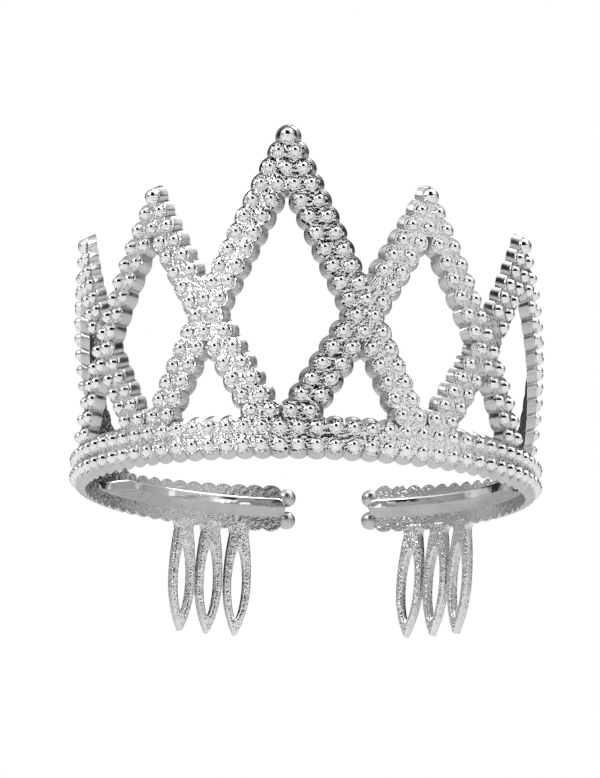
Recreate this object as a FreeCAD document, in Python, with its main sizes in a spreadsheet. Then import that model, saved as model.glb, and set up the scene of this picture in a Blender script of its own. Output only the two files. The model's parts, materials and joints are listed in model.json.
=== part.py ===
"""Child's crown: a beaded lattice of five peaks on a headband whose two springy arms carry comb teeth.

Millimetres, +Z up. The origin is on the axis of the ring, level with the lower bead row, where the
crown sits on the head. The front peak is on the -Y side and the arms meet, with a gap, on the +Y side.
Angles run round the ring from the front: positive towards +X, 180 at the back.
"""
import FreeCAD
import Part
import math
import os
import Sketcher

V = FreeCAD.Vector
doc = FreeCAD.newDocument("crown")

# ---------------------------------------------------------------- driving dimensions
SIZES = {
    # ring
    "ring_radius": 52.0,          # outer face of the band, where the beads sit
    "band_thickness": 2.3,
    "band_edge": 1.9,             # from a bead row's line to the edge of the band
    # beads
    "bead_radius": 1.45,
    "bead_gap": 1.13,             # between neighbours in a row, measured on the ring's outer face
    "row_gap": 0.9,               # between the beads of the headband's two rows
    "bar_row_gap": 0.7,           # between the beads of a bar's two rows, square to the bar
    "arm_spread": 1.4,            # how much further apart the two rows are at the ends of the arms
    "bead_clearance": 0.7,        # least gap between beads where bars meet
    "arm_reach": 170.0,           # degrees from the front: an arm ends at the last bead before this
    "tip_ball_radius": 2.1,
    # lattice, heights above the lower bead row
    "centre_peak": 68.3,
    "inner_peak": 56.9,
    "outer_peak": 51.6,
    "peak_step": 36.3,            # degrees round the ring from one peak to the next
    "rear_foot": 117.5,           # degrees from the front to the foot behind the outer peak
    "bar_edge": 2.0,              # from a bead row's line to the edge of a bar
    "peak_cap": 2.0,              # from a tip bead's centre to the top of its peak
    # arms
    "split_angle": 121.55,        # degrees from the front to the flexing neck of an arm
    "split_gap": 0.3,
    "rail_start": 101.0,          # degrees from the front to where the inner rail begins
    "rail_depth": 2.3,
    "rail_low": 0.3,              # lower edge of the rail where it meets the band
    "rail_slope": 2.0,            # height of the rail's sloping underside
    "rail_high": 4.7,
    "rail_round": 0.6,
    # comb teeth
    "first_tooth": 11.6,          # from the end bead to the first tooth, along the ring
    "tooth_gap": 0.8,             # between neighbouring teeth
    "tooth_length": 26.2,
    "tooth_width": 6.5,
    "tooth_thickness": 2.4,
    "root_width": 6.2,
    "root_height": 2.2,
    "neck_width": 3.7,
    "loop_top": 5.6,              # from the band down to the top of the loop's slot
    "slot_length": 16.6,
    "slot_width": 2.7,
    "left_comb_lean": -1.0,       # degrees that the teeth lean towards the gap between the arms
    "right_comb_lean": 3.4,
}

sheet = doc.addObject("Spreadsheet::Sheet", "Sizes")
for row, (alias, value) in enumerate(SIZES.items(), start=1):
    sheet.set(f"A{row}", alias)
    sheet.set(f"B{row}", str(value))
    sheet.setAlias(f"B{row}", alias)
doc.recompute()


def size(alias):
    """A driving dimension as the sheet holds it."""
    return float(sheet.get(alias))


# ---------------------------------------------------------------- helpers
SIDES = (("left", -1), ("right", 1))
TEETH_PER_COMB = 3
nodes = []


def keep(obj, label):
    """Name a finished sub-part: its label names its file."""
    obj.Label = label
    nodes.append(obj)


def on_ring(angle, radius, height=0.0):
    """The point at an angle round the ring."""
    turn = math.radians(angle)
    return V(radius * math.sin(turn), -radius * math.cos(turn), height)


def arc_angle(length):
    """Degrees round the ring for a length along its outer face."""
    return math.degrees(length / size("ring_radius"))


def origin_feature(body, role):
    """One of a body's own origin planes or axes."""
    return next(f for f in body.Origin.OriginFeatures if f.Role == role)


def new_sketch(body, name, role="XZ_Plane"):
    """A sketch on one of the body's upright planes: sketch y is the body's Z."""
    sketch = body.newObject("Sketcher::SketchObject", name)
    sketch.AttachmentSupport = [(origin_feature(body, role), "")]
    sketch.MapMode = "FlatFace"
    return sketch


def value_of(expression):
    """The number that an expression of sheet aliases stands for now."""
    return float(sheet.evalExpression(expression.replace("Sizes.", "")))


def point_of(corner):
    """A corner given as two expressions, as the point it stands for now."""
    return V(value_of(corner[0]), value_of(corner[1]), 0)


def pin_point(sketch, geometry, end, corner):
    """Bind the x and y of a sketch point to two expressions."""
    for kind, expression in zip(("DistanceX", "DistanceY"), corner):
        rule = Sketcher.Constraint(kind, -1, 1, geometry, end, value_of(expression))
        index = sketch.addConstraint(rule)
        sketch.setExpression(f"Constraints[{index}]", expression)


def start_end(sketch, geometry, point):
    """The start and end numbers of an edge that sets out from a point: arcs are stored anticlockwise."""
    if sketch.getPoint(geometry, 1).distanceToPoint(point) < 1e-6:
        return 1, 2
    return 2, 1


def add_outline(sketch, corners, bulges=None):
    """Draw a closed outline. bulges maps an edge's number to the point that its arc passes through."""
    bulges = bulges or {}
    first = sketch.GeometryCount
    points = [point_of(corner) for corner in corners]
    count = len(points)
    for i, point in enumerate(points):
        following = points[(i + 1) % count]
        if i in bulges:
            sketch.addGeometry(Part.Arc(point, point_of(bulges[i]), following))
        else:
            sketch.addGeometry(Part.LineSegment(point, following))
    ends = [start_end(sketch, first + i, point) for i, point in enumerate(points)]
    for i in range(count):
        j = (i + 1) % count
        meeting = (first + i, ends[i][1], first + j, ends[j][0])
        sketch.addConstraint(Sketcher.Constraint("Coincident", *meeting))
        pin_point(sketch, first + i, ends[i][0], corners[i])
    for i, corner in bulges.items():
        marker = sketch.addGeometry(Part.Point(point_of(corner)), True)
        pin_point(sketch, marker, 1, corner)
        sketch.addConstraint(Sketcher.Constraint("PointOnObject", marker, 1, first + i))


def turned_body(name, corners, first, last):
    """Revolve a section of (radius, height) corners about Z between two angles of the ring."""
    body = doc.addObject("PartDesign::Body", name)
    sketch = new_sketch(body, name + "_section")
    add_outline(sketch, corners)
    turn = body.newObject("PartDesign::Revolution", name + "_turn")
    turn.Profile = sketch
    turn.ReferenceAxis = (origin_feature(body, "Z_Axis"), [""])
    turn.Midplane = True
    turn.Angle = last - first
    middle = (first + last) / 2.0
    body.Placement = FreeCAD.Placement(V(), FreeCAD.Rotation(V(0, 0, 1), middle - 90.0))
    return body


# ---------------------------------------------------------------- rows of beads
ROW_SPACING = "(2 * Sizes.bead_radius + Sizes.row_gap)"
ARM_ROW_SPACING = f"({ROW_SPACING} + Sizes.arm_spread)"
bead_pitch = 2.0 * size("bead_radius") + size("bead_gap")
beads_each_side = math.floor(size("arm_reach") / arc_angle(bead_pitch))
row_spacing = value_of(ROW_SPACING)
bar_row_spacing = 2.0 * size("bead_radius") + size("bar_row_gap")

# ---------------------------------------------------------------- headband, arms and rails
BAND_INNER = "Sizes.ring_radius - Sizes.band_thickness"
BAND_OUTER = "Sizes.ring_radius"
BAND_LOW = "-Sizes.band_edge"
BAND_HIGH = f"{ROW_SPACING} + Sizes.band_edge"
ARM_HIGH = f"{ARM_ROW_SPACING} + Sizes.band_edge"

end_angle = arc_angle(bead_pitch * beads_each_side)
ball_seat = size("ring_radius") - size("band_thickness") / 2.0
strip_end = end_angle - math.degrees(math.asin(size("tip_ball_radius") / ball_seat))
half_split = arc_angle(size("split_gap")) / 2.0
headband_end = size("split_angle") - half_split
arm_start = size("split_angle") + half_split
arm_half = (strip_end - arm_start) / 2.0
arm_half_chord = size("ring_radius") * math.sin(math.radians(arm_half))


def arm_share(angle):
    """How far the upper bead row has climbed at an angle, from 0 at the neck to 1 at the strip's end."""
    along = size("ring_radius") * math.sin(math.radians(abs(angle) - arm_start - arm_half))
    return max(0.0, 0.5 + 0.5 * along / arm_half_chord)


def upper_row_height(angle):
    """The height of the upper bead row, which climbs along the arms."""
    return row_spacing + size("arm_spread") * arm_share(angle)


def band_section(high):
    """The rectangular section of a band that is as high as an expression says."""
    return [(BAND_INNER, BAND_LOW), (BAND_OUTER, BAND_LOW), (BAND_OUTER, high), (BAND_INNER, high)]


def make_headband():
    """The band from one arm's neck, round the front, to the other's."""
    keep(turned_body("headband", band_section(BAND_HIGH), -headband_end, headband_end), "headband")


def make_arm(side_name, side):
    """An arm's band. A wedge comes off its top, so that the edge follows the climbing bead row."""
    first, last = sorted((side * arm_start, side * strip_end))
    arm = turned_body(side_name + "_arm", band_section(ARM_HIGH), first, last)
    doc.recompute()
    uncut = arm.Shape.Volume
    # The wedge is drawn past both ends of the strip, which reach one half chord from its middle.
    reach = 1.5
    neck = str(-side * reach * arm_half_chord)
    tip = str(side * reach * arm_half_chord)
    above = f"{ARM_HIGH} + 2 * Sizes.band_edge"
    low_edge = f"{BAND_HIGH} - {(reach - 1) / 2} * Sizes.arm_spread"
    high_edge = f"{ARM_HIGH} + {(reach - 1) / 2} * Sizes.arm_spread"
    wedge = new_sketch(arm, side_name + "_arm_wedge", "YZ_Plane")
    add_outline(wedge, [(neck, low_edge), (tip, high_edge), (tip, above), (neck, above)])
    cut = arm.newObject("PartDesign::Pocket", side_name + "_arm_taper")
    cut.Profile = wedge
    cut.Type = "ThroughAll"
    cut.Midplane = True
    doc.recompute()
    assert arm.Shape.Volume < uncut, "the taper cuts nothing from " + side_name + "_arm"
    keep(arm, side_name + "_arm")


def make_rail(label, first, last):
    """The smooth rail on the inside of a band: an upright face over a sloping underside."""
    inner = f"{BAND_INNER} - Sizes.rail_depth"
    top = "Sizes.rail_high"
    corners = [(BAND_INNER, "Sizes.rail_low"), (BAND_INNER, top),
               (f"{inner} + Sizes.rail_round", top), (inner, f"{top} - Sizes.rail_round"),
               (inner, "Sizes.rail_low + Sizes.rail_slope")]
    keep(turned_body(label, corners, first, last), label)


def make_rails(side_name, side):
    """One rail on the headband's end and one on the arm, parted with the band."""
    make_rail(side_name + "_side_rail", *sorted((side * size("rail_start"), side * headband_end)))
    make_rail(side_name + "_arm_rail", *sorted((side * arm_start, side * strip_end)))


# ---------------------------------------------------------------- comb teeth
def make_tooth(label, angle, lean):
    """A looped tooth: a flared root under the band, a neck, and a long pointed loop round a slot.

    lean is an expression for how far the tooth leans, in degrees towards the sketch's -X."""

    def leaning(across, drop):
        return f"{across} - tan({lean}) * ({drop})", f"-({drop})"

    root, neck = "Sizes.root_width / 2", "Sizes.neck_width / 2"
    wide, slot = "Sizes.tooth_width / 2", "Sizes.slot_width / 2"
    under, tip = "Sizes.root_height", "Sizes.tooth_length"
    middle = "Sizes.loop_top + Sizes.slot_length / 2"
    slot_top, slot_end = "Sizes.loop_top", "Sizes.loop_top + Sizes.slot_length"
    body = doc.addObject("PartDesign::Body", label)
    sketch = new_sketch(body, label + "_outline")
    corners = [("-" + root, "0"), (root, "0"),
               leaning(neck, under), leaning("0", tip), leaning("-" + neck, under)]
    add_outline(sketch, corners, {2: leaning(wide, middle), 3: leaning("-" + wide, middle)})
    slot_ends = [leaning("0", slot_top), leaning("0", slot_end)]
    add_outline(sketch, slot_ends, {0: leaning(slot, middle), 1: leaning("-" + slot, middle)})
    pad = body.newObject("PartDesign::Pad", label + "_pad")
    pad.Profile = sketch
    pad.Midplane = True
    pad.setExpression("Length", "Sizes.tooth_thickness")
    centre = on_ring(angle, size("ring_radius") - size("band_thickness") / 2.0, -size("band_edge"))
    body.Placement = FreeCAD.Placement(centre, FreeCAD.Rotation(V(0, 0, 1), angle - 180.0))
    keep(body, label)


def make_comb(side_name, side):
    """The teeth hang from the arm's lower edge, counted from the arm's end."""
    for number in range(TEETH_PER_COMB):
        from_end = size("first_tooth") + number * (size("tooth_width") + size("tooth_gap"))
        angle = side * (end_angle - arc_angle(from_end))
        make_tooth(f"{side_name}_comb_tooth_{number + 1}", angle, f"({side} * Sizes.{side_name}_comb_lean)")


# ---------------------------------------------------------------- lattice bars
class BarLine:
    """The straight fall of a bar's outer bead row from its peak to its foot, as if unrolled."""

    def __init__(self, peak, foot):
        self.peak_angle, self.peak_height = peak
        self.foot_angle = foot
        self.foot_height = row_spacing
        self.way = 1 if foot > self.peak_angle else -1
        self.drop = self.peak_height - self.foot_height
        self.turn = abs(foot - self.peak_angle)
        run = size("ring_radius") * math.radians(self.turn)
        self.stretch = math.hypot(run, self.drop) / self.drop
        last_height = self.foot_height + 2.0 * size("bead_radius") + size("bead_clearance")
        self.levels = round((self.peak_height - last_height) * self.stretch / bead_pitch)
        self.level_drop = (self.peak_height - last_height) / self.levels

    def turn_at(self, height):
        """Degrees from the peak to the outer row at a height."""
        return self.turn * (self.peak_height - height) / self.drop

    def across(self, width):
        """The level width of a bar that is so wide square to its fall."""
        return width * self.stretch


def bar_prism(peak, foot):
    """The straight prism that holds a bar: two bead rows wide, with an edge on each side."""
    line = BarLine(peak, foot)
    radius = size("ring_radius")
    half = radius * math.sin(math.radians(line.turn / 2.0))
    edge = line.across(size("bar_edge"))
    rows = line.across(bar_row_spacing)
    spare = 2.0 * bead_pitch
    top, bottom = line.peak_height + spare, line.foot_height - spare
    outline = []
    for height, shift in ((top, edge), (bottom, edge), (bottom, -rows - edge), (top, -rows - edge)):
        along = 2.0 * half * (line.peak_height - height) / line.drop - half
        outline.append(V(line.way * (along + shift), -radius - spare, height))
    face = Part.Face(Part.makePolygon(outline + outline[:1]))
    prism = face.extrude(V(0, radius, 0))
    prism.rotate(V(), V(0, 0, 1), (line.peak_angle + line.foot_angle) / 2.0)
    return prism


def bar_sector(peak, foot, foot_is_free):
    """The piece of the ring's wall over which a bar runs, from the band up to the top of its peak."""
    low, high = value_of(BAND_HIGH), peak[1] + size("peak_cap")
    first, last = sorted((peak[0], foot))
    if foot_is_free:
        spare = arc_angle(bead_pitch)
        first, last = (first, last + spare) if foot > peak[0] else (first - spare, last)
    outer = Part.makeCylinder(size("ring_radius"), high - low, V(0, 0, low), V(0, 0, 1), last - first)
    inner = Part.makeCylinder(value_of(BAND_INNER), high - low, V(0, 0, low))
    sector = outer.cut(inner)
    sector.rotate(V(), V(0, 0, 1), first - 90.0)
    return sector


def add_shape(label, shape):
    """Put a computed shape in the document as a sub-part."""
    feature = doc.addObject("Part::Feature", label)
    feature.Shape = shape
    keep(feature, label)


def make_bar(label, peak, foot, foot_is_free=False):
    """A bar that runs whole from its peak to its foot."""
    add_shape(label, bar_prism(peak, foot).common(bar_sector(peak, foot, foot_is_free)).Solids[0])


def make_crossed_bar(label, peak, foot, over_peak, over_foot):
    """A bar in two lengths that butt against the whole bar that crosses it."""
    bar = bar_prism(peak, foot).common(bar_sector(peak, foot, False))
    lengths = sorted(bar.cut(bar_prism(over_peak, over_foot)).Solids,
                     key=lambda solid: solid.CenterOfMass.z)
    add_shape(label + "_lower", lengths[0])
    add_shape(label + "_upper", lengths[-1])


# ---------------------------------------------------------------- beads
DOME = Part.makeSphere(size("bead_radius"), V(), V(0, 0, 1), 0, 90, 360)


def dome_at(angle, height):
    """A half-round bead seated on the outer face of the ring."""
    outward = on_ring(angle, 1.0)
    dome = DOME.copy()
    seat = on_ring(angle, size("ring_radius"), height)
    dome.Placement = FreeCAD.Placement(seat, FreeCAD.Rotation(V(0, 0, 1), outward))
    return dome


def make_beads(label, places):
    """A group of separate beads."""
    add_shape(label, Part.makeCompound([dome_at(*place) for place in places]))


def apart(place, others):
    """Whether a bead would clear all the others. Two rows may come a little closer than the clearance."""
    room = 2.0 * size("bead_radius") + 0.85 * size("bead_clearance")
    for angle, height in others:
        along = size("ring_radius") * math.radians(place[0] - angle)
        if math.hypot(along, place[1] - height) < room:
            return False
    return True


def bar_beads(peak, foot):
    """The two rows of beads on a bar. The inner row starts below the peak's own beads, where it has room."""
    line = BarLine(peak, foot)
    row_turn = arc_angle(line.across(bar_row_spacing))
    least_turn = arc_angle(size("bead_radius") + size("bead_clearance") / 2.0)
    places = []
    for level in range(1, line.levels + 1):
        height = line.peak_height - level * line.level_drop
        outer = max(line.turn_at(height), min(level, 2) * least_turn)
        places.append((line.peak_angle + line.way * outer, height))
        if level > 2 and outer >= 3.0 * least_turn:
            inner = max(outer - row_turn, least_turn)
            places.append((line.peak_angle + line.way * inner, height))
    return places


def peak_beads(peak, foot):
    """The bead at the tip of a peak and the one in the middle, two levels down."""
    return [peak, (peak[0], peak[1] - 2.0 * BarLine(peak, foot).level_drop)]


def make_band_beads():
    """The two rows along the headband and along each arm, up to the balls at the arm ends."""
    pitch = arc_angle(bead_pitch)
    angles = [number * pitch for number in range(1 - beads_each_side, beads_each_side)]
    for row, height_at in (("lower", lambda angle: 0.0), ("upper", upper_row_height)):
        front = [angle for angle in angles if abs(angle) < size("split_angle")]
        make_beads(f"headband_{row}_beads", [(angle, height_at(angle)) for angle in front])
        for side_name, side in SIDES:
            back = [angle for angle in angles if side * angle > size("split_angle")]
            make_beads(f"{side_name}_arm_{row}_beads", [(angle, height_at(angle)) for angle in back])


def make_tip_balls(side_name, side):
    """The two full balls that end an arm, each touching the end face of the band."""
    balls = []
    for height in (0.0, upper_row_height(end_angle)):
        ball = Part.makeSphere(size("tip_ball_radius"))
        ball.Placement.Base = on_ring(side * end_angle, ball_seat, height)
        balls.append(ball)
    add_shape(side_name + "_arm_tip_balls", Part.makeCompound(balls))


# ---------------------------------------------------------------- assembly
step = size("peak_step")


def make_lattice(side_name, side):
    """The seven lengths of bar on one side of the front, and the beads on each."""
    centre = (0.0, size("centre_peak"))
    inner = (side * step, size("inner_peak"))
    outer = (side * 2 * step, size("outer_peak"))
    front_foot, middle_foot, side_foot = 0.0, side * step, side * 2 * step
    rear_foot = side * size("rear_foot")

    whole_bars = (("centre_bar", centre, middle_foot, False), ("inner_rear_bar", inner, side_foot, True),
                  ("outer_rear_bar", outer, rear_foot, True))
    for name, peak, foot, foot_is_free in whole_bars:
        make_bar(f"{side_name}_{name}", peak, foot, foot_is_free)
        make_beads(f"{side_name}_{name}_beads", bar_beads(peak, foot))

    crossed_bars = (("inner_front_bar", inner, front_foot, centre, middle_foot),
                    ("outer_front_bar", outer, middle_foot, inner, side_foot))
    for name, peak, foot, over_peak, over_foot in crossed_bars:
        label = f"{side_name}_{name}"
        make_crossed_bar(label, peak, foot, over_peak, over_foot)
        crossing = bar_beads(over_peak, over_foot)
        free = [place for place in bar_beads(peak, foot) if apart(place, crossing)]
        middle_height = (peak[1] + row_spacing) / 2.0
        make_beads(label + "_upper_beads", [place for place in free if place[1] > middle_height])
        make_beads(label + "_lower_beads", [place for place in free if place[1] <= middle_height])


def make_peak_beads():
    """The beads at the five tips."""
    places = peak_beads((0.0, size("centre_peak")), step)
    for side_name, side in SIDES:
        places += peak_beads((side * step, size("inner_peak")), 0.0)
        places += peak_beads((side * 2 * step, size("outer_peak")), side * step)
    make_beads("peak_tip_beads", places)


make_headband()
make_band_beads()
make_peak_beads()
for side_name, side in SIDES:
    make_arm(side_name, side)
    make_rails(side_name, side)
    make_tip_balls(side_name, side)
    make_comb(side_name, side)
    make_lattice(side_name, side)

doc.recompute()
for obj in doc.Objects:
    assert not {"Invalid", "Error"} & set(obj.State), obj.Label + " failed"
for node in nodes:
    assert not node.Shape.isNull() and node.Shape.isValid(), node.Label + " has no valid shape"

os.makedirs("parts", exist_ok=True)
for node in nodes:
    node.Shape.exportStep(f"parts/{node.Label}.step")
    print(f"{node.Label}: {len(node.Shape.Solids)} solids, {node.Shape.Volume:.1f} mm3")
print(len(nodes), "nodes")
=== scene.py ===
# %% [markdown]
# # A beaded party crown
# The crown is a curved strip of plated plastic with two rows of beads, a lattice of beaded bars that
# makes five peaks, and two springy arms that end in combs. The solid model is loaded first as a fixed
# frame. Every piece below is then made to fit one of its sub-parts, and moves with that sub-part's body.

# %% Load the frame
import json
import math

import bmesh
import bpy
from mathutils import Matrix, Quaternion, Vector

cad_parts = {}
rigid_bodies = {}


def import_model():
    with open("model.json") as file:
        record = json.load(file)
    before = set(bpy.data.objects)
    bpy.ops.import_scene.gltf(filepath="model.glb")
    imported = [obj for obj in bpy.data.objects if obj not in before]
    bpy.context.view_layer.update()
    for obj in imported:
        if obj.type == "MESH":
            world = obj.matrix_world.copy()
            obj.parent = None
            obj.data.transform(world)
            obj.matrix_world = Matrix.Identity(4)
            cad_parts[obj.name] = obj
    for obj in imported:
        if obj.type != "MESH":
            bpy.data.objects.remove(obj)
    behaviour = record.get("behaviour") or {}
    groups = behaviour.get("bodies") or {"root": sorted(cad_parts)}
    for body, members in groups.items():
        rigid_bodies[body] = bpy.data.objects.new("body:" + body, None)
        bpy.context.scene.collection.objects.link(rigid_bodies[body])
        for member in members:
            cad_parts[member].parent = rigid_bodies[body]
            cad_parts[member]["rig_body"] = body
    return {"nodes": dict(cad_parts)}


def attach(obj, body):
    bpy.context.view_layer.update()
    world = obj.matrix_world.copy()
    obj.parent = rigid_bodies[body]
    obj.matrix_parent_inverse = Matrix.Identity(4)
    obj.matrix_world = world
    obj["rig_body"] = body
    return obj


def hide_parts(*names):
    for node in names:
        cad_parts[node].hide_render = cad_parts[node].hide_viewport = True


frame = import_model()
scene = bpy.context.scene
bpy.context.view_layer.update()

# %% [markdown]
# ## Sizes
# The crown is bent from flat strip, so most shapes are laid out unrolled, as distances along the strip
# and heights, and then wrapped round the ring. The ring's faces are measured on the headband.

# %% Measure the ring
MM = 0.001
SIDES = (("left", -1), ("right", 1))
SHARP_ANGLE = math.radians(38)
reaches = [math.hypot(vert.co.x, vert.co.y) for vert in frame["nodes"]["headband"].data.vertices]
OUTER_FACE, INNER_FACE = max(reaches), min(reaches)
print(f"ring from {INNER_FACE:.5f} to {OUTER_FACE:.5f} m")


def on_ring(radius, angle, height):
    """A point of the ring. Angles are in radians from the front, growing towards +X."""
    return Vector((radius * math.sin(angle), -radius * math.cos(angle), height))


def angle_of(point):
    return math.atan2(point.x, -point.y)


# %% [markdown]
# ## Helpers for node trees
# Geometry and material trees are built by the same small class. A socket is fed with a number or with
# another node's output, and an interface is a list of names, kinds and starting values.

# %% Node tree helper
class Tree:
    """A node tree, and short ways to add to it."""

    def __init__(self, tree, inputs=(), outputs=()):
        self.tree = tree
        for way, sockets in (("INPUT", inputs), ("OUTPUT", outputs)):
            for name, kind, *start in sockets:
                socket = tree.interface.new_socket(name, in_out=way, socket_type="NodeSocket" + kind)
                if start:
                    socket.default_value = start[0]

    def add(self, kind, feeds=None, **settings):
        """A new node. Its settings come first, because they can change its sockets."""
        node = self.tree.nodes.new(kind)
        for name, value in settings.items():
            setattr(node, name, value)
        for key, value in (feeds or {}).items():
            self.feed(node.inputs[key], value)
        return node

    def first(self, kind, feeds=None, **settings):
        """The first output of a new node."""
        return self.add(kind, feeds, **settings).outputs[0]

    def feed(self, socket, value):
        if isinstance(value, bpy.types.NodeSocket):
            self.tree.links.new(value, socket)
        else:
            socket.default_value = value

    def calc(self, operation, *values):
        node = self.add("ShaderNodeMath", operation=operation)
        for socket, value in zip(node.inputs, values):
            self.feed(socket, value)
        return node.outputs[0]

    def plus(self, one, other):
        return self.calc("ADD", one, other)

    def minus(self, one, other):
        return self.calc("SUBTRACT", one, other)

    def times(self, one, other):
        return self.calc("MULTIPLY", one, other)

    def blend(self, share, low, high):
        """The value that is so far from low to high."""
        return self.calc("MULTIPLY_ADD", self.minus(high, low), share, low)

    def fade(self, value, start, end, low, high):
        """A soft change from low to high while a value goes from start to end."""
        return self.first("ShaderNodeMapRange", {"Value": value, "From Min": start, "From Max": end,
                                                 "To Min": low, "To Max": high},
                          interpolation_type="SMOOTHSTEP")

    def vector(self, **values):
        return self.first("ShaderNodeCombineXYZ", values)

    def split(self, vector):
        return self.add("ShaderNodeSeparateXYZ", {0: vector}).outputs


# %% [markdown]
# ## Studio
# Chrome shows nothing but its surroundings, so the studio matters more than the plating. It is a white
# tent, brightest in front, and dimmer behind and straight below. A few dark cards stand in it, and they
# give every bead its dark spots. The backdrop behind the crown stays plain white.

# %% Studio surroundings
def direction(turn, rise):
    """A level turn from the front towards +X and a rise, in degrees, as a direction."""
    turn, rise = math.radians(turn), math.radians(rise)
    return Vector((math.sin(turn) * math.cos(rise), -math.cos(turn) * math.cos(rise), math.sin(rise)))


TENT_TURN = 6.5
CARD_SOFTNESS = 0.2
# turn, rise, half width, half height (all in degrees), darkness
CARDS = (
    (-2.0, 29.0, 56.0, 11.0, 1.0),
    (-4.0, 38.0, 30.0, 27.0, 1.0),
    (14.0, 9.0, 23.0, 7.0, 0.75),
    (180.0, 25.0, 60.0, 17.0, 0.95),
    (-70.0, 12.0, 27.0, 14.0, 0.7),
    (72.0, 11.0, 13.0, 11.0, 0.55),
    (100.0, 8.0, 12.0, 30.0, 0.6),
)

world = bpy.data.worlds.new("white_tent")
scene.world = world
world.use_nodes = True
world.node_tree.nodes.clear()
tent = Tree(world.node_tree)
look = tent.add("ShaderNodeTexCoord").outputs["Generated"]


def towards(axis):
    """How nearly a look into the tent goes along an axis."""
    return tent.add("ShaderNodeVectorMath", {0: look, 1: axis}, operation="DOT_PRODUCT").outputs["Value"]


def card_mask(turn, rise, wide, high):
    """One on a card and zero off it, with a soft edge."""
    middle = direction(turn, rise)
    across = Vector((0, 0, 1)).cross(middle).normalized()
    ahead = tent.calc("MAXIMUM", towards(middle), 0.001)
    sides = []
    for axis, reach in ((across, wide), (middle.cross(across), high)):
        edge = math.tan(math.radians(reach))
        tangent = tent.calc("DIVIDE", tent.calc("ABSOLUTE", towards(axis)), ahead)
        sides.append(tent.fade(tangent, edge * (1 - CARD_SOFTNESS), edge * (1 + CARD_SOFTNESS), 1.0, 0.0))
    return tent.times(*sides)


dim_below = tent.fade(tent.split(look)["Z"], -0.98, -0.6, 0.4, 1.0)
dim_behind = tent.fade(towards(direction(TENT_TURN, 0.0)), -0.6, 0.2, 0.5, 1.2)
light = tent.times(dim_below, dim_behind)
for *card, darkness in CARDS:
    light = tent.times(light, tent.calc("MULTIPLY_ADD", card_mask(*card), -darkness, 1.0))
seen = tent.add("ShaderNodeLightPath").outputs["Is Camera Ray"]
shown = tent.first("ShaderNodeMix", {"Factor": seen, "A": light, "B": 1.0})
backdrop = tent.first("ShaderNodeBackground", {"Color": shown, "Strength": 1.0})
tent.add("ShaderNodeOutputWorld", {"Surface": backdrop})
scene.view_settings.view_transform = "Standard"
print("tent with", len(CARDS), "dark cards")

# %% [markdown]
# ## Camera
# The crown is seen from slightly below and from a little towards +X, through a long lens from about a
# metre away, with its peaks leaning a trace to the right.

# %% Camera
AIM = Vector((-0.0013, -0.0042, 0.0212))
VIEW_TURN, VIEW_RISE = 6.47, -10.88
DISTANCE, LENS, LEAN = 1.094, 224.0, 1.39
camera_data = bpy.data.cameras.new("long_lens")
camera_data.lens = LENS
camera = bpy.data.objects.new("long_lens", camera_data)
scene.collection.objects.link(camera)
away = direction(VIEW_TURN, VIEW_RISE)
camera.location = AIM + away * DISTANCE
camera.rotation_mode = "QUATERNION"
camera.rotation_quaternion = (-away).to_track_quat("-Z", "Y") @ Quaternion((0, 0, 1), math.radians(LEAN))
scene.camera = camera
print("camera at", [round(value, 3) for value in camera.location])

# %% [markdown]
# ## Floor and lamps
# The floor lies well below the crown, out of the way of the low camera. Two wide soft lamps give the
# satin parts a gentle fall of light.

# %% Floor and lamps
FLOOR_LEVEL, FLOOR_HALF = -0.3, 3.0
# name, place, size in metres, power in watts
LAMPS = (("left_lamp", (-0.9, -0.9, 0.9), 0.7, 6.0), ("top_lamp", (0.3, 0.5, 1.3), 0.8, 7.0))

pale = bpy.data.materials.new("pale_floor")
pale.use_nodes = True
pale.node_tree.nodes["Principled BSDF"].inputs["Base Color"].default_value = (0.95, 0.95, 0.95, 1.0)
pale.node_tree.nodes["Principled BSDF"].inputs["Roughness"].default_value = 0.7
corners = [(x * FLOOR_HALF, y * FLOOR_HALF, FLOOR_LEVEL) for x, y in ((-1, -1), (1, -1), (1, 1), (-1, 1))]
floor_mesh = bpy.data.meshes.new("floor")
floor_mesh.from_pydata(corners, [], [(0, 1, 2, 3)])
floor_mesh.materials.append(pale)
floor = bpy.data.objects.new("floor", floor_mesh)
scene.collection.objects.link(floor)

for name, place, size, power in LAMPS:
    lamp_data = bpy.data.lights.new(name, "AREA")
    lamp_data.size, lamp_data.energy = size, power
    lamp = bpy.data.objects.new(name, lamp_data)
    lamp.location = place
    lamp.rotation_euler = (AIM - Vector(place)).to_track_quat("-Z", "Y").to_euler()
    scene.collection.objects.link(lamp)
print("floor and", len(LAMPS), "lamps")

# %% [markdown]
# ## Plating
# Vacuum plating follows every ripple of the moulded plastic under it. One shared group gives the ripple
# and a finer grain as heights, and a mask for the faint haze that dulls the plating here and there. Each
# finish places the group with its own sizes.

# %% Shared plating group
plating_tree = bpy.data.node_groups.new("plating", "ShaderNodeTree")
plating = Tree(plating_tree,
               (("Ripple Scale", "Float", 400.0), ("Haze Scale", "Float", 120.0),
                ("Grain Scale", "Float", 2500.0)),
               (("Ripple", "Float"), ("Haze", "Float"), ("Grain", "Float")))
given = plating.add("NodeGroupInput").outputs
place = plating.add("ShaderNodeTexCoord").outputs["Object"]
ripple = plating.first("ShaderNodeTexNoise", {"Vector": place, "Scale": given["Ripple Scale"], "Detail": 2.0})
haze = plating.first("ShaderNodeTexNoise", {"Vector": place, "Scale": given["Haze Scale"], "Detail": 3.0})
patches = plating.first("ShaderNodeMapRange", {"Value": haze, "From Min": 0.45, "From Max": 0.7})
grain = plating.add("ShaderNodeTexVoronoi", {"Vector": place, "Scale": given["Grain Scale"]},
                    feature="SMOOTH_F1").outputs["Distance"]
plating.add("NodeGroupOutput", {"Ripple": ripple, "Haze": patches, "Grain": grain})
print("plating group with", len(plating_tree.nodes), "nodes")


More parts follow.
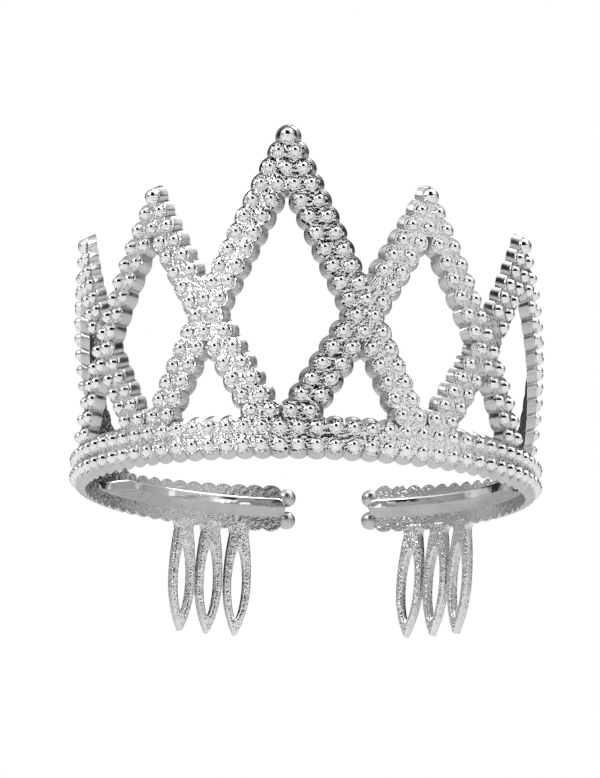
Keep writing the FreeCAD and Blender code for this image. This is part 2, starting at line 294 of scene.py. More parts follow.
# %% Finishes
MIRROR_GREY, MIRROR_ROUGHNESS = 0.88, 0.07


def grey(value):
    return (value, value, value, 1.0)


def plated(name, greys, roughnesses, ripple, grain=None, dull_ripple=None):
    """
    A plated finish. Its greys and roughnesses are for the clean and for the hazed plating, and ripple and
    grain are a scale and a depth each. With a dull ripple, the mesh's own polish attribute tells where the
    finish is a mirror, and that share of the ripple is left where it isn't. On the rail, the darker grey off
    the mirror is also painted shade.
    """
    material = bpy.data.materials.new(name)
    material.use_nodes = True
    maker = Tree(material.node_tree)
    shader = material.node_tree.nodes["Principled BSDF"].inputs
    shader["Metallic"].default_value = 1.0
    skin = maker.add("ShaderNodeGroup", node_tree=plating_tree)
    skin.inputs["Ripple Scale"].default_value = ripple[0]
    haze, height = skin.outputs["Haze"], skin.outputs["Ripple"]

    def mixed(share, low, high):
        return maker.add("ShaderNodeMix", {"Factor": share, 6: low, 7: high}, data_type="RGBA").outputs[2]

    tint = mixed(haze, grey(greys[0]), grey(greys[1]))
    roughness = maker.blend(haze, *roughnesses)
    if dull_ripple is not None:
        polish = maker.add("ShaderNodeAttribute", attribute_name="polish").outputs["Fac"]
        tint = mixed(polish, tint, grey(MIRROR_GREY))
        roughness = maker.blend(polish, roughness, MIRROR_ROUGHNESS)
        height = maker.times(height, maker.blend(polish, dull_ripple, 1.0))
    normal = maker.first("ShaderNodeBump", {"Height": height, "Distance": ripple[1], "Strength": 1.0})
    if grain:
        skin.inputs["Grain Scale"].default_value = grain[0]
        normal = maker.first("ShaderNodeBump", {"Height": skin.outputs["Grain"], "Distance": grain[1],
                                                "Strength": 1.0, "Normal": normal})
    maker.feed(shader["Base Color"], tint)
    maker.feed(shader["Roughness"], roughness)
    maker.feed(shader["Normal"], normal)
    return material


BEAD_CHROME = plated("mirror_bead_plating", (0.90, 0.84), (0.04, 0.09), (500.0, 0.04 * MM))
STRIP_CHROME = plated("satin_strip_plating", (0.60, 0.54), (0.24, 0.34), (1000.0, 0.4 * MM),
                      dull_ripple=0.15)
# The rail's lower greys are partly painted shade: they darken its underside beyond what its rougher satin
# gives.
RAIL_CHROME_PAINTED_SHADE_BELOW = plated("smooth_rail_plating", (0.52, 0.46), (0.22, 0.3), (220.0, 0.12 * MM), dull_ripple=1.0)
TOOTH_CHROME = plated("pebbled_tooth_plating", (0.84, 0.74), (0.14, 0.24), (700.0, 0.25 * MM),
                      grain=(2400.0, 0.1 * MM))
print("finishes", [m.name for m in (BEAD_CHROME, STRIP_CHROME, RAIL_CHROME_PAINTED_SHADE_BELOW, TOOTH_CHROME)])

# %% [markdown]
# ## Seats of the beads
# Each bead node of the frame is a set of separate half-round solids. Their places are read back, so that
# the detailed beads land exactly where the model has them.

# %% Read the seats
def solids_of(node):
    """The separate solids of a node from the lowest up, each as a list of points."""
    work = bmesh.new()
    work.from_mesh(frame["nodes"][node].data)
    bmesh.ops.remove_doubles(work, verts=work.verts, dist=1e-7)
    left, found = set(work.verts), []
    while left:
        todo = [left.pop()]
        group = list(todo)
        while todo:
            for edge in todo.pop().link_edges:
                for vert in edge.verts:
                    if vert in left:
                        left.remove(vert)
                        group.append(vert)
                        todo.append(vert)
        found.append([vert.co.copy() for vert in group])
    work.free()
    return sorted(found, key=lambda points: min(point.z for point in points))


def seats_of(node):
    """The (angle, height) of every bead in a node, sorted."""
    seats = []
    for points in solids_of(node):
        angles, heights = [angle_of(point) for point in points], [point.z for point in points]
        seats.append(((min(angles) + max(angles)) / 2.0, (min(heights) + max(heights)) / 2.0))
    return sorted(seats)


SEATS = {name: seats_of(name) for name in frame["nodes"] if name.endswith("_beads")}
print(sum(len(seats) for seats in SEATS.values()), "bead seats in", len(SEATS), "nodes")

# %% [markdown]
# ## Beads
# Hundreds of equal beads are a job for Geometry Nodes: a point for each seat, one bead, and instances of
# it turned to face outwards. The bead starts as a cone primitive, which comes with a closed base and few
# faces. Its base is drawn out to a small flared foot, and its other rings are moved on to a quarter
# circle. A seeded random size keeps the rows lively.

# %% Bead tree
RINGS = 5
bead_tree = bpy.data.node_groups.new("beads", "GeometryNodeTree")
beads = Tree(bead_tree,
             (("Seats", "Geometry"), ("Foot Radius", "Float", 1.5 * MM), ("Foot Height", "Float", 0.3 * MM),
              ("Dome Radius", "Float", 1.23 * MM), ("Bead Height", "Float", 1.45 * MM), ("Sides", "Int", 14),
              ("Size Variation", "Float", 0.02), ("Seed", "Int", 0), ("Finish", "Material")),
             (("Beads", "Geometry"),))
given = beads.add("NodeGroupInput").outputs
cone = beads.add("GeometryNodeMeshCone", {"Vertices": given["Sides"], "Side Segments": RINGS,
                                          "Radius Top": 0.0, "Radius Bottom": 1.0, "Depth": 1.0}).outputs
smooth = beads.first("GeometryNodeSetShadeSmooth", {"Geometry": cone["Mesh"],
                                                    "Selection": beads.minus(1.0, cone["Bottom"])})
flat_below = beads.first("GeometryNodeSetShadeSmooth", {"Geometry": smooth, "Selection": cone["Bottom"],
                                                        "Shade Smooth": False})
spot = beads.split(beads.first("GeometryNodeInputPosition"))
ring = beads.times(spot["Z"], float(RINGS))
on_foot = beads.calc("LESS_THAN", ring, 0.5)
turn = beads.times(beads.minus(ring, 1.0), math.pi / 2 / (RINGS - 1))
round_reach = beads.times(beads.calc("COSINE", turn), given["Dome Radius"])
reach = beads.blend(on_foot, round_reach, given["Foot Radius"])
widen = beads.calc("DIVIDE", reach, beads.calc("MAXIMUM", beads.minus(1.0, spot["Z"]), 0.001))
height = beads.blend(beads.calc("SINE", turn), given["Foot Height"], given["Bead Height"])
rounded = beads.vector(X=beads.times(spot["X"], widen), Y=beads.times(spot["Y"], widen),
                       Z=beads.times(beads.minus(1.0, on_foot), height))
dome = beads.first("GeometryNodeSetPosition", {"Geometry": flat_below, "Position": rounded})
outward = beads.first("ShaderNodeVectorMath", {0: beads.first("GeometryNodeInputPosition"),
                                               1: (1.0, 1.0, 0.0)}, operation="MULTIPLY")
facing = beads.first("FunctionNodeAlignRotationToVector", {"Vector": outward}, axis="Z")
chance = beads.add("FunctionNodeRandomValue", {2: beads.minus(1.0, given["Size Variation"]),
                                               3: beads.plus(1.0, given["Size Variation"]),
                                               "Seed": given["Seed"]}, data_type="FLOAT").outputs[1]
placed = beads.first("GeometryNodeInstanceOnPoints", {"Points": given["Seats"], "Instance": dome,
                                                      "Rotation": facing, "Scale": chance})
real = beads.first("GeometryNodeRealizeInstances", {"Geometry": placed})
coated = beads.first("GeometryNodeSetMaterial", {"Geometry": real, "Material": given["Finish"]})
beads.add("NodeGroupOutput", {"Beads": coated})
print("bead tree with", len(bead_tree.nodes), "nodes")


# %% Grow, join and settle a piece
def grow(name, points, tree, **values):
    """An object whose mesh is what a geometry tree makes of some points. Input names have _ for a space."""
    start = bpy.data.meshes.new(name)
    start.from_pydata([tuple(point) for point in points], [], [])
    piece = bpy.data.objects.new(name, start)
    scene.collection.objects.link(piece)
    modifier = piece.modifiers.new(tree.name, "NODES")
    modifier.node_group = tree
    keys = {item.name: item.identifier for item in tree.interface.items_tree if item.in_out == "INPUT"}
    for label, value in values.items():
        modifier[keys[label.replace("_", " ")]] = value
    grown = bpy.data.meshes.new_from_object(piece.evaluated_get(bpy.context.evaluated_depsgraph_get()))
    piece.modifiers.remove(modifier)
    piece.data = grown
    grown.name = name
    return piece


def joined(pieces, name):
    """One object with the meshes of several."""
    work = bmesh.new()
    for piece in pieces:
        work.from_mesh(piece.data)
    work.to_mesh(pieces[0].data)
    work.free()
    for piece in pieces[1:]:
        bpy.data.objects.remove(piece)
    pieces[0].name = name
    return pieces[0]


def settle(piece, node):
    """Hand a finished piece to the frame in place of a CAD node."""
    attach(piece, frame["nodes"][node]["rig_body"])
    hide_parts(node)
    return piece


# %% [markdown]
# ## Peaks and rows of beads
# The highest bead of each peak marks its tip, where the bars of the lattice will start. The beads at the
# tips are larger than the rest. Each row is grown from its own seats, with a seed of its own.

# %% Find the peaks
def tips_among(seats):
    """The highest of the seats at each angle, from left to right."""
    tips = {}
    for seat in seats:
        key = round(math.degrees(seat[0]))
        tips[key] = max(tips.get(key, seat), seat, key=lambda spot: spot[1])
    return [tips[key] for key in sorted(tips)]


TIPS = tips_among(SEATS["peak_tip_beads"])
print("peaks at", [round(math.degrees(angle), 1) for angle, height in TIPS])


# %% Beads on every row
SUNK = 0.05 * MM
LARGER = {"Foot_Radius": 1.95 * MM, "Dome_Radius": 1.7 * MM, "Bead_Height": 1.7 * MM}


def bead_group(name, seats, **sizes):
    points = [on_ring(OUTER_FACE - SUNK, *seat) for seat in seats]
    return grow(name, points, bead_tree, Finish=BEAD_CHROME, **sizes)


for number, (node, seats) in enumerate(sorted(SEATS.items())):
    groups = [bead_group("fine_" + node, [seat for seat in seats if seat not in TIPS], Seed=number)]
    at_tips = [seat for seat in seats if seat in TIPS]
    if at_tips:
        groups.append(bead_group("larger_" + node, at_tips, Seed=number, **LARGER))
    piece = settle(joined(groups, "fine_" + node), node)
print("last bead group has", len(piece.data.polygons), "faces")

# %% [markdown]
# ## Scalloped strips
# The strip under the beads follows them: its edge is a run of arcs, one round each bead, and the arcs
# widen towards the back, where the plastic left the mould. The outline is a rule, so Geometry Nodes make
# it from the bead seats. A box primitive with many rows of points is the start. Its x, y and z say how
# far a point is along, across and through the strip, and one Set Position sends each point to its place.
# The points of the two faces get a polish attribute, which keeps the walls duller than the faces.

# %% Strip tree
HALF_WAY_OUT = 0.3  # between the box's points on its faces, at 0.5, and those inside its walls
ARC_USED = 0.98  # how much of its last arc the strip keeps past the tip
strip_tree = bpy.data.node_groups.new("scalloped_strip", "GeometryNodeTree")
strip = Tree(strip_tree,
             (("Seats", "Geometry"), ("Start", "Float", 0.0), ("End", "Float", 0.1),
              ("Facet", "Float", 0.2 * MM), ("Front Arc", "Float", 2.1 * MM), ("Back Arc", "Float", 3.0 * MM),
              ("Least Edge", "Float", 0.4 * MM), ("Tip", "Float", 1.0), ("Rounding", "Float", 0.18 * MM),
              ("Outer Face", "Float", OUTER_FACE), ("Inner Face", "Float", INNER_FACE),
              ("Ring Radius", "Float", OUTER_FACE), ("Tilt", "Float", 0.0), ("Middle Along", "Float", 0.0),
              ("Middle Height", "Float", 0.0), ("Finish", "Material")),
             (("Strip", "Geometry"),))
given = strip.add("NodeGroupInput").outputs
length = strip.minus(given["End"], given["Start"])
rows = strip.plus(strip.calc("CEIL", strip.calc("DIVIDE", length, given["Facet"])), 1.0)
block = strip.first("GeometryNodeMeshCube", {"Size": strip.vector(X=length, Y=1.0, Z=1.0),
                                             "Vertices X": rows, "Vertices Y": 7, "Vertices Z": 4})
where = strip.first("GeometryNodeInputPosition")
spot = strip.split(where)
in_front = strip.calc("GREATER_THAN", spot["Z"], 0.0)
on_face = strip.calc("GREATER_THAN", strip.calc("ABSOLUTE", spot["Z"]), HALF_WAY_OUT)
arc = strip.blend(in_front, given["Back Arc"], given["Front Arc"])
along = strip.plus(spot["X"], strip.times(strip.plus(given["End"], given["Start"]), 0.5))
along = strip.calc("MINIMUM", along, strip.calc("MULTIPLY_ADD", arc, ARC_USED, given["Tip"]))
trim = strip.times(given["Rounding"], on_face)
edges = []
for row, way in ((1.0, -1.0), (0.0, 1.0)):
    wanted = strip.first("FunctionNodeCompare", {"A": spot["Z"], "B": row, "Epsilon": 0.1},
                         data_type="FLOAT", operation="EQUAL")
    seats = strip.first("GeometryNodeSeparateGeometry", {"Geometry": given["Seats"], "Selection": wanted})
    in_line = strip.first("GeometryNodeSetPosition", {"Geometry": seats,
                                                      "Position": strip.vector(X=spot["X"])})
    nearest = strip.first("GeometryNodeSampleNearest", {"Geometry": in_line,
                                                        "Sample Position": strip.vector(X=along)})
    seat = strip.split(strip.first("GeometryNodeSampleIndex", {"Geometry": seats, "Value": where,
                                                               "Index": nearest}, data_type="FLOAT_VECTOR"))
    gap = strip.minus(along, seat["X"])
    square = strip.minus(strip.times(arc, arc), strip.times(gap, gap))
    reach = strip.calc("SQRT", strip.calc("MAXIMUM", square, 0.0))
    reach = strip.minus(strip.calc("MAXIMUM", reach, given["Least Edge"]), trim)
    edges.append(strip.calc("MULTIPLY_ADD", reach, way, seat["Y"]))
across = strip.blend(strip.plus(spot["Y"], 0.5), *edges)
inset = strip.times(given["Rounding"], strip.minus(1.0, on_face))
radius = strip.blend(in_front, strip.plus(given["Inner Face"], inset),
                     strip.minus(given["Outer Face"], inset))
cosine, sine = strip.calc("COSINE", given["Tilt"]), strip.calc("SINE", given["Tilt"])
level = strip.minus(strip.times(along, cosine), strip.times(across, sine))
height = strip.plus(strip.times(along, sine), strip.times(across, cosine))
angle = strip.calc("DIVIDE", strip.plus(level, given["Middle Along"]), given["Ring Radius"])
wrapped = strip.vector(X=strip.times(radius, strip.calc("SINE", angle)),
                       Y=strip.times(strip.times(radius, strip.calc("COSINE", angle)), -1.0),
                       Z=strip.plus(height, given["Middle Height"]))
polish = strip.times(on_face, strip.blend(in_front, 0.5, 1.0))
marked = strip.first("GeometryNodeStoreNamedAttribute", {"Geometry": block, "Name": "polish",
                                                         "Value": polish})
bent = strip.first("GeometryNodeSetPosition", {"Geometry": marked, "Position": wrapped})
smooth = strip.first("GeometryNodeSetShadeSmooth", {"Geometry": bent})
real = strip.first("GeometryNodeRealizeInstances", {"Geometry": smooth})
coated = strip.first("GeometryNodeSetMaterial", {"Geometry": real, "Material": given["Finish"]})
strip.add("NodeGroupOutput", {"Strip": coated})
print("strip tree with", len(strip_tree.nodes), "nodes")


# %% Make a strip and cut it with planes
def clip(piece, planes):
    """Keep what lies behind each (point, normal) plane and close the cut. Then mark the sharp edges."""
    work = bmesh.new()
    work.from_mesh(piece.data)
    for point, normal in planes:
        geometry = work.verts[:] + work.edges[:] + work.faces[:]
        cut = bmesh.ops.bisect_plane(work, geom=geometry, plane_co=point, plane_no=normal, clear_outer=True)
        edges = [item for item in cut["geom_cut"] if isinstance(item, bmesh.types.BMEdge)]
        bmesh.ops.holes_fill(work, edges=edges, sides=0)
    bmesh.ops.recalc_face_normals(work, faces=work.faces[:])
    work.to_mesh(piece.data)
    work.free()
    piece.data.set_sharp_from_angle(angle=SHARP_ANGLE)


def make_strip(node, lower, upper, start, end, planes=(), **values):
    """A strip from two rows of (along, across) seats. A seat's third number tells its row."""
    points = [(*seat, 0.0) for seat in upper] + [(*seat, 1.0) for seat in lower]
    name = "scalloped_" + node
    piece = grow(name, points, strip_tree, Start=start, End=end, Finish=STRIP_CHROME, **values)
    clip(piece, planes)
    return settle(piece, node)


# %% [markdown]
# ## Headband and arms
# The band is laid out as it is, with no tilt: along is the distance round the ring and across is the
# height. The arms are the same strip, with the upper row climbing towards the ends. An arm comes a little
# closer to the band than its solid does, so that the split reads as a fine line.

# %% Headband and arms
TOWARDS_SPLIT, UNDER_BALL = 0.22 * MM, 1.5 * MM


def end_angles(node):
    angles = [angle_of(vert.co) for vert in frame["nodes"][node].data.vertices]
    return min(angles), max(angles)


def stretched(first, last, at_front, at_back):
    """Two end angles, front end first, moved apart by lengths along the ring."""
    if abs(first) > abs(last):
        first, last = last, first
    way = math.copysign(1.0, last)
    return first - way * at_front / OUTER_FACE, last + way * at_back / OUTER_FACE


def unrolled(seats):
    return [(angle * OUTER_FACE, height) for angle, height in seats]


for node in ("headband", "left_arm", "right_arm"):
    rows = [unrolled(SEATS[f"{node}_{row}_beads"]) for row in ("lower", "upper")]
    first, last = end_angles(node)
    if node != "headband":
        first, last = sorted(stretched(first, last, TOWARDS_SPLIT, UNDER_BALL))
    piece = make_strip(node, *rows, first * OUTER_FACE, last * OUTER_FACE)
    print(piece.name, len(piece.data.polygons), "faces")

# %% [markdown]
# ## Lattice bars
# A bar falls straight from the tip of its peak, once unrolled. Its direction comes from its own beads:
# of all the lines from the tip to a bead, the flattest is the outer row. The two bars of a peak are cut
# on the plane between them, and so are two bars that share a foot. Bars that cross another stop inside it.

# %% A bar's own axes
class Bar:
    """A bar laid out: along runs up to the tip of its peak, and across runs to its left."""

    def __init__(self, name, side, peak):
        self.name = f"{side[0]}_{name}"
        self.tip = TIPS[2 + side[1] * peak]
        seats = [seat for node in SEATS if node.startswith(self.name) for seat in SEATS[node]]
        origin = self.flat(self.tip)
        leans = [(self.flat(seat) - origin).x / (origin.y - seat[1]) for seat in seats]
        self.lean = max(leans, key=abs)
        self.up = Vector((-self.lean, 1.0)).normalized()
        self.side = Vector((-self.up.y, self.up.x))
        places = [self.place(seat) for seat in seats]
        self.outer = [along for along, across in places if abs(across) < MM] + [0.0]
        self.inner = [along for along, across in places if abs(across) > MM]
        self.spread = sum(across for along, across in places if abs(across) > MM) / len(self.inner)

    @staticmethod
    def flat(seat):
        return Vector((seat[0] * OUTER_FACE, seat[1]))

    def place(self, seat):
        """An (angle, height) as (along, across)."""
        step = self.flat(seat) - self.flat(self.tip)
        return step.dot(self.up), step.dot(self.side)

    def middle(self, along):
        """The unrolled point on the bar's middle line."""
        return self.flat(self.tip) + self.up * along + self.side * self.spread / 2

    def meets(self, other):
        """How far along this bar its middle line meets another bar's."""
        gap = other.middle(0.0) - self.middle(0.0)
        return (gap.x * other.up.y - gap.y * other.up.x) / (self.up.x * other.up.y - self.up.y * other.up.x)

    def rows(self):
        """Both rows of seats, lower side first, carried on at their pitch past every missing bead."""
        pitch = sorted(self.outer)[-1] - sorted(self.outer)[-2]
        count = round((self.tip[1] - BAR_FLOOR) / self.up.y / pitch)
        outer = [(-number * pitch, 0.0) for number in range(count + 1)]
        inner = [(max(self.inner) + (1 - number) * pitch, self.spread) for number in range(count + 1)]
        return (inner, outer) if self.spread < 0 else (outer, inner)


# %% Bars of the lattice
BAR_FLOOR = 1.9 * MM
OVERRUN = 4.0 * MM  # past the tip and below the ring, for the planes to cut
THROUGH = {"centre_bar": 0, "inner_rear_bar": 1, "outer_rear_bar": 2}
CROSSED = {"inner_front_bar": 1, "outer_front_bar": 2}
CROSSED_BY = {"inner_front_bar": "centre_bar", "outer_front_bar": "inner_rear_bar"}
THROUGH_INSET, CROSSED_INSET = 0.05 * MM, 0.1 * MM  # each layer lies a little behind the one that covers it


def ring_plane(angle, way):
    """A plane through the ring's axis, which cuts off what lies further round in one way."""
    return Vector((0, 0, 0)), Vector((way * math.cos(angle), way * math.sin(angle), 0))


def make_bar(bar, node, start, end, inset, foot_angle=None):
    leans_to = 1 if bar.lean > 0 else -1
    planes = [(Vector((0, 0, BAR_FLOOR)), Vector((0, 0, -1))), ring_plane(bar.tip[0], -leans_to)]
    if foot_angle is not None:
        planes.append(ring_plane(foot_angle, leans_to))
    middle = bar.flat(bar.tip)
    make_strip(node, *bar.rows(), start, end, planes, Tip=0.0, Tilt=math.atan2(bar.up.y, bar.up.x),
               Middle_Along=middle.x, Middle_Height=middle.y, Outer_Face=OUTER_FACE - inset,
               Inner_Face=INNER_FACE + inset)


def bottom_of(bar):
    return -(bar.tip[1] + OVERRUN) / bar.up.y


for side in SIDES:
    bars = {name: Bar(name, side, peak) for name, peak in (THROUGH | CROSSED).items()}
    shared_foot = TIPS[2 + side[1]][0]
    feet = {"centre_bar": shared_foot, "outer_front_bar": shared_foot, "inner_front_bar": 0.0,
            "outer_rear_bar": side[1] * end_angles("headband")[1]}
    for name in THROUGH:
        bar = bars[name]
        make_bar(bar, bar.name, bottom_of(bar), OVERRUN, THROUGH_INSET, feet.get(name))
    for name in CROSSED:
        bar = bars[name]
        crossing = bar.meets(bars[CROSSED_BY[name]])
        make_bar(bar, bar.name + "_lower", bottom_of(bar), crossing, CROSSED_INSET, feet[name])
        make_bar(bar, bar.name + "_upper", crossing, OVERRUN, CROSSED_INSET)
print("seven lengths of bar on each side")

# %% [markdown]
# ## Rails
# Inside each arm runs a smooth rail that stiffens it: an upright face that shines, over a sloping
# underside that is rougher and painted a darker grey, as painted shade. One section is carried round the
# ring, and it grows out of the band at the rail's start.

# %% Meshes through rings of points
def loft(name, rings, material):
    """A closed mesh through rings of points, with a flat end on each."""
    work = bmesh.new()
    layers = [[work.verts.new(point) for point in ring] for ring in rings]
    for low, high in zip(layers, layers[1:]):
        for number, corner in enumerate(low):
            following = (number + 1) % len(low)
            work.faces.new((corner, low[following], high[following], high[number]))
    work.faces.new(reversed(layers[0]))
    work.faces.new(layers[-1])
    bmesh.ops.recalc_face_normals(work, faces=work.faces[:])
    mesh = bpy.data.meshes.new(name)
    work.to_mesh(mesh)
    work.free()
    mesh.shade_smooth()
    mesh.set_sharp_from_angle(angle=SHARP_ANGLE)
    mesh.materials.append(material)
    piece = bpy.data.objects.new(name, mesh)
    scene.collection.objects.link(piece)
    return piece


# %% Rails
RAIL_ROOT = 0.15 * MM  # how deep the rail is let into the strip
RAIL_LOW, RAIL_TOP, RAIL_SLOPE = 0.3 * MM, 4.7 * MM, 2.0 * MM
RAIL_DEPTH, RAIL_LEAST_DEPTH = 2.3 * MM, 0.1 * MM
RAIL_TURN, RAIL_BEND = 0.55 * MM, 0.25 * MM  # the rounding above and below the shining face
RAIL_GROWTH, RAIL_CLIMB = 15.0 * MM, 2.4 * MM
RAIL_CORNER = 1.9 * MM
RAIL_STEP, RAIL_LEAST_STEPS = 0.4 * MM, 12
UNDERSIDE_ANGLE = 229  # degrees, where the lower rounding turns into the sloping underside
# The rest of a section is the underside, which takes the rail's darker grey as painted shade.
SHINING_ABOVE_PAINTED_SHADE = range(1, 10)  # the points of a section from its top to the foot of the upright face


def arc_points(centre, radius, first, last, count=6):
    """Points of an arc between two angles in degrees."""
    turns = [math.radians(first + (last - first) * number / count) for number in range(count + 1)]
    return [(centre[0] + radius * math.cos(turn), centre[1] + radius * math.sin(turn)) for turn in turns]


def rail_section(depth, fall):
    """The rail's (radius, height) outline. fall lowers its top."""
    root, face, top = INNER_FACE + RAIL_ROOT, INNER_FACE - depth, RAIL_TOP - fall
    bend = RAIL_LOW + RAIL_SLOPE * depth / RAIL_DEPTH
    turn = min(RAIL_TURN, depth * 0.6)
    upper = arc_points((face + turn, top - turn), turn, 90, 180)
    lower = arc_points((face + RAIL_BEND, bend + RAIL_BEND), RAIL_BEND, 180, UNDERSIDE_ANGLE, 3)
    return [(root, RAIL_LOW), (root, top), *upper, *lower]


def make_rail(node, grows, ends):
    """A rail that may grow out of the band at its front end, and may end at its back in a round corner."""
    first, last = stretched(*end_angles(node), 0.0 if grows else TOWARDS_SPLIT, UNDER_BALL if ends else 0.0)
    length = abs(last - first) * INNER_FACE
    rings = []
    count = max(RAIL_LEAST_STEPS, round(length / RAIL_STEP))
    for number in range(count + 1):
        share = number / count
        grown = min(1.0, share * length / RAIL_GROWTH) if grows else 1.0
        grown = grown * grown * (3 - 2 * grown)
        depth = RAIL_LEAST_DEPTH + (RAIL_DEPTH - RAIL_LEAST_DEPTH) * grown
        fall = RAIL_CLIMB * (1.0 - grown)
        left = (1.0 - share) * length
        if ends and left < RAIL_CORNER:
            fall += RAIL_CORNER - math.sqrt(RAIL_CORNER ** 2 - (RAIL_CORNER - left) ** 2)
        angle = first + (last - first) * share
        rings.append([on_ring(radius, angle, height) for radius, height in rail_section(depth, fall)])
    piece = loft("smooth_" + node, rings, RAIL_CHROME_PAINTED_SHADE_BELOW)
    # Where this is 0 the rail takes its darker grey, which is painted shade on the underside.
    polish = piece.data.attributes.new("polish", "FLOAT", "POINT")
    mirror_else_painted_shade = [float(number in SHINING_ABOVE_PAINTED_SHADE) for number in range(len(rings[0]))]
    polish.data.foreach_set("value", mirror_else_painted_shade * len(rings))
    return settle(piece, node)


for side_name, way in SIDES:
    make_rail(side_name + "_side_rail", True, False)
    piece = make_rail(side_name + "_arm_rail", False, True)
print(piece.name, len(piece.data.polygons), "faces")

# %% [markdown]
# ## Balls at the arm ends
# Each arm ends in two full balls. A ball is turned like work on a lathe, with a short neck that runs
# back into the strip.

# %% Balls
NECK_LENGTH, NECK_RADIUS = 0.7 * MM, 1.2 * MM
BALL_RINGS = 14
NECK_ANGLE, POLE_ANGLE = 35.0, 179.5  # where the ball leaves its neck, and just short of its far pole


def lathe(points, centre, axis, sides=28):
    """Rings of points about an axis, from (along, radius) pairs."""
    across = axis.cross(Vector((0, 0, 1))).normalized()
    up = across.cross(axis)
    turns = [2 * math.pi * number / sides for number in range(sides)]
    spokes = [across * math.cos(turn) + up * math.sin(turn) for turn in turns]
    return [[centre + axis * along + spoke * radius for spoke in spokes] for along, radius in points]


def ball_profile(ball):
    """A ball of some radius with its neck, as (along, radius) pairs."""
    step = (POLE_ANGLE - NECK_ANGLE) / BALL_RINGS
    turns = [math.radians(NECK_ANGLE + step * number) for number in range(BALL_RINGS + 1)]
    neck = (-ball - NECK_LENGTH, NECK_RADIUS)
    return [neck] + [(-ball * math.cos(turn), ball * math.sin(turn)) for turn in turns]


for side_name, way in SIDES:
    node = side_name + "_arm_tip_balls"
    made = []
    for number, points in enumerate(solids_of(node)):
        low, high = [Vector([limit(places) for places in zip(*points)]) for limit in (min, max)]
        centre, ball = (low + high) / 2, (high.z - low.z) / 2
        angle = angle_of(centre)
        axis = Vector((math.cos(angle), math.sin(angle), 0)) * way
        made.append(loft(f"{node}_{number}", lathe(ball_profile(ball), centre, axis), STRIP_CHROME))
    piece = settle(joined(made, "round_" + node), node)
print(piece.name, len(piece.data.polygons), "faces")

# %% [markdown]
# ## Comb teeth
# A tooth is a long loop with a pointed tip, on a short neck that flares where it meets the strip. Its
# outline and its slot are two flat curves, which Blender fills, thickens and rounds in one go.

# %% A tooth's outline
ROOT, NECK, WIDE, SLOT_WIDE = 3.1 * MM, 2.2 * MM, 3.25 * MM, 1.5 * MM  # half widths
NECK_DROP, MIDDLE_DROP, TIP_DROP = 2.2 * MM, 13.9 * MM, 26.2 * MM
INTO_STRIP = 0.7 * MM
LOOP_RISE, SLOT_HALF = 17.3 * MM, 8.3 * MM  # from the middle to where the loop and the slot would close
ABOVE_ROUNDNESS, BELOW_ROUNDNESS, SLOT_ROUNDNESS = 0.75, 0.25, 0.6
TOOTH_THICKNESS, ROUNDING = 2.4 * MM, 0.6 * MM
CROWDED = 4  # steps left out at the root, where they would lie too close


def lens(q, roundness):
    """The half width of a pointed oval, as a share of its widest, at a place from -1 to 1."""
    rest = max(0.0, 1.0 - q * q)
    return (1.0 - roundness) * rest + roundness * math.sqrt(rest)


def tooth_half_width(drop):
    """Half the width of a tooth, so far below the strip."""
    if drop < NECK_DROP:
        share = max(0.0, drop / NECK_DROP)
        return NECK + (ROOT - NECK) * (1.0 - share) ** 2
    if drop < MIDDLE_DROP:
        return WIDE * lens((MIDDLE_DROP - drop) / LOOP_RISE, ABOVE_ROUNDNESS)
    return WIDE * lens((drop - MIDDLE_DROP) / (TIP_DROP - MIDDLE_DROP), BELOW_ROUNDNESS)


def tooth_outlines(steps=44, slot_steps=48):
    """The outer outline and the slot, as (across, drop) points, closer together near the tip."""
    drops = [TIP_DROP * (1 - math.cos(math.pi * step / steps)) / 2 for step in range(CROWDED, steps)]
    right = [(tooth_half_width(drop), drop) for drop in (-INTO_STRIP, 0.0, *drops)]
    outer = right + [(0.0, TIP_DROP)] + [(-across, drop) for across, drop in reversed(right)]
    turns = [2 * math.pi * step / slot_steps for step in range(slot_steps)]
    slot = [(math.copysign(SLOT_WIDE * lens(math.cos(turn), SLOT_ROUNDNESS), math.sin(turn)),
             MIDDLE_DROP + SLOT_HALF * math.cos(turn)) for turn in turns]
    return outer, slot


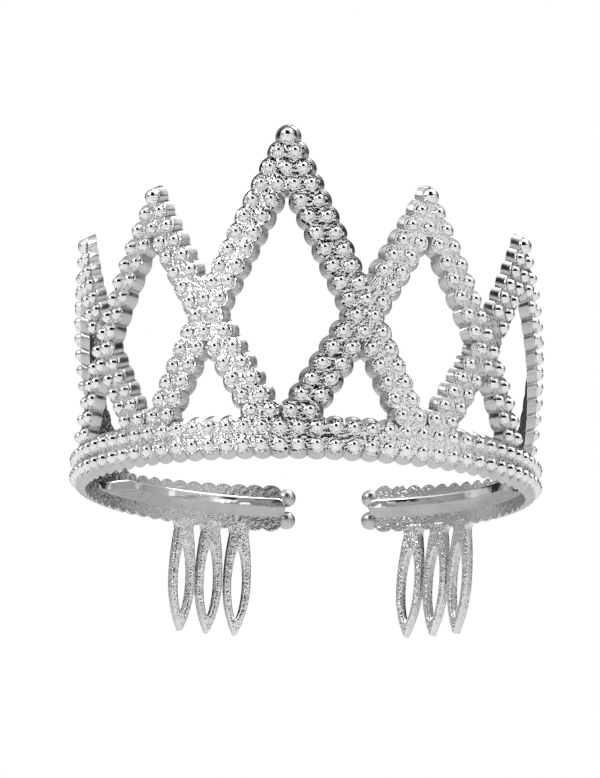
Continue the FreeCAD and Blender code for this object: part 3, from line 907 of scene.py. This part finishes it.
def flat_piece(name, outlines, thickness, rounding):
    """A mesh made from flat outlines, filled, thickened and rounded."""
    curve = bpy.data.curves.new(name, "CURVE")
    curve.dimensions, curve.fill_mode = "2D", "BOTH"
    curve.extrude, curve.bevel_depth, curve.offset = thickness / 2 - rounding, rounding, -rounding
    curve.bevel_resolution = 3
    for outline in outlines:
        spline = curve.splines.new("POLY")
        spline.points.add(len(outline) - 1)
        for point, (across, drop) in zip(spline.points, outline):
            point.co = (across, -drop, 0.0, 1.0)
        spline.use_cyclic_u = True
    drawn = bpy.data.objects.new(name, curve)
    scene.collection.objects.link(drawn)
    mesh = bpy.data.meshes.new_from_object(drawn.evaluated_get(bpy.context.evaluated_depsgraph_get()))
    bpy.data.objects.remove(drawn)
    return mesh


TOOTH_MESH = flat_piece("tooth", tooth_outlines(), TOOTH_THICKNESS, ROUNDING)
print("tooth", len(TOOTH_MESH.polygons), "faces")

# %% [markdown]
# A copy of the tooth goes to each place on the arms. Its lean is measured on the solid model, from the
# middle of the tooth's root to its lowest point.

# %% Six teeth
NEAR_TOP = 0.1 * MM
UP = Vector((0, 0, 1))


def make_tooth(node):
    points = [vert.co for vert in frame["nodes"][node].data.vertices]
    highest = max(point.z for point in points)
    roots = [point for point in points if point.z > highest - NEAR_TOP]
    angle = angle_of(sum(roots, Vector()) / len(roots))
    centre = on_ring((OUTER_FACE + INNER_FACE) / 2, angle, roots[0].z)
    outward = on_ring(1.0, angle, 0.0)
    axes = Matrix((UP.cross(outward), UP, outward)).transposed()
    lean = (min(points, key=lambda point: point.z) - centre).dot(axes.col[0]) / TIP_DROP
    mesh = TOOTH_MESH.copy()
    for vert in mesh.vertices:
        vert.co.x -= vert.co.y * lean
    mesh.transform(Matrix.Translation(centre) @ axes.to_4x4())
    work = bmesh.new()
    work.from_mesh(mesh)
    bmesh.ops.remove_doubles(work, verts=work.verts, dist=0.01 * MM)
    bmesh.ops.recalc_face_normals(work, faces=work.faces[:])
    work.to_mesh(mesh)
    work.free()
    mesh.shade_smooth()
    mesh.set_sharp_from_angle(angle=SHARP_ANGLE)
    mesh.materials.clear()
    mesh.materials.append(TOOTH_CHROME)
    piece = bpy.data.objects.new("looped_" + node, mesh)
    scene.collection.objects.link(piece)
    settle(piece, node)


for side_name, way in SIDES:
    for number in (1, 2, 3):
        make_tooth(f"{side_name}_comb_tooth_{number}")
print("six teeth")
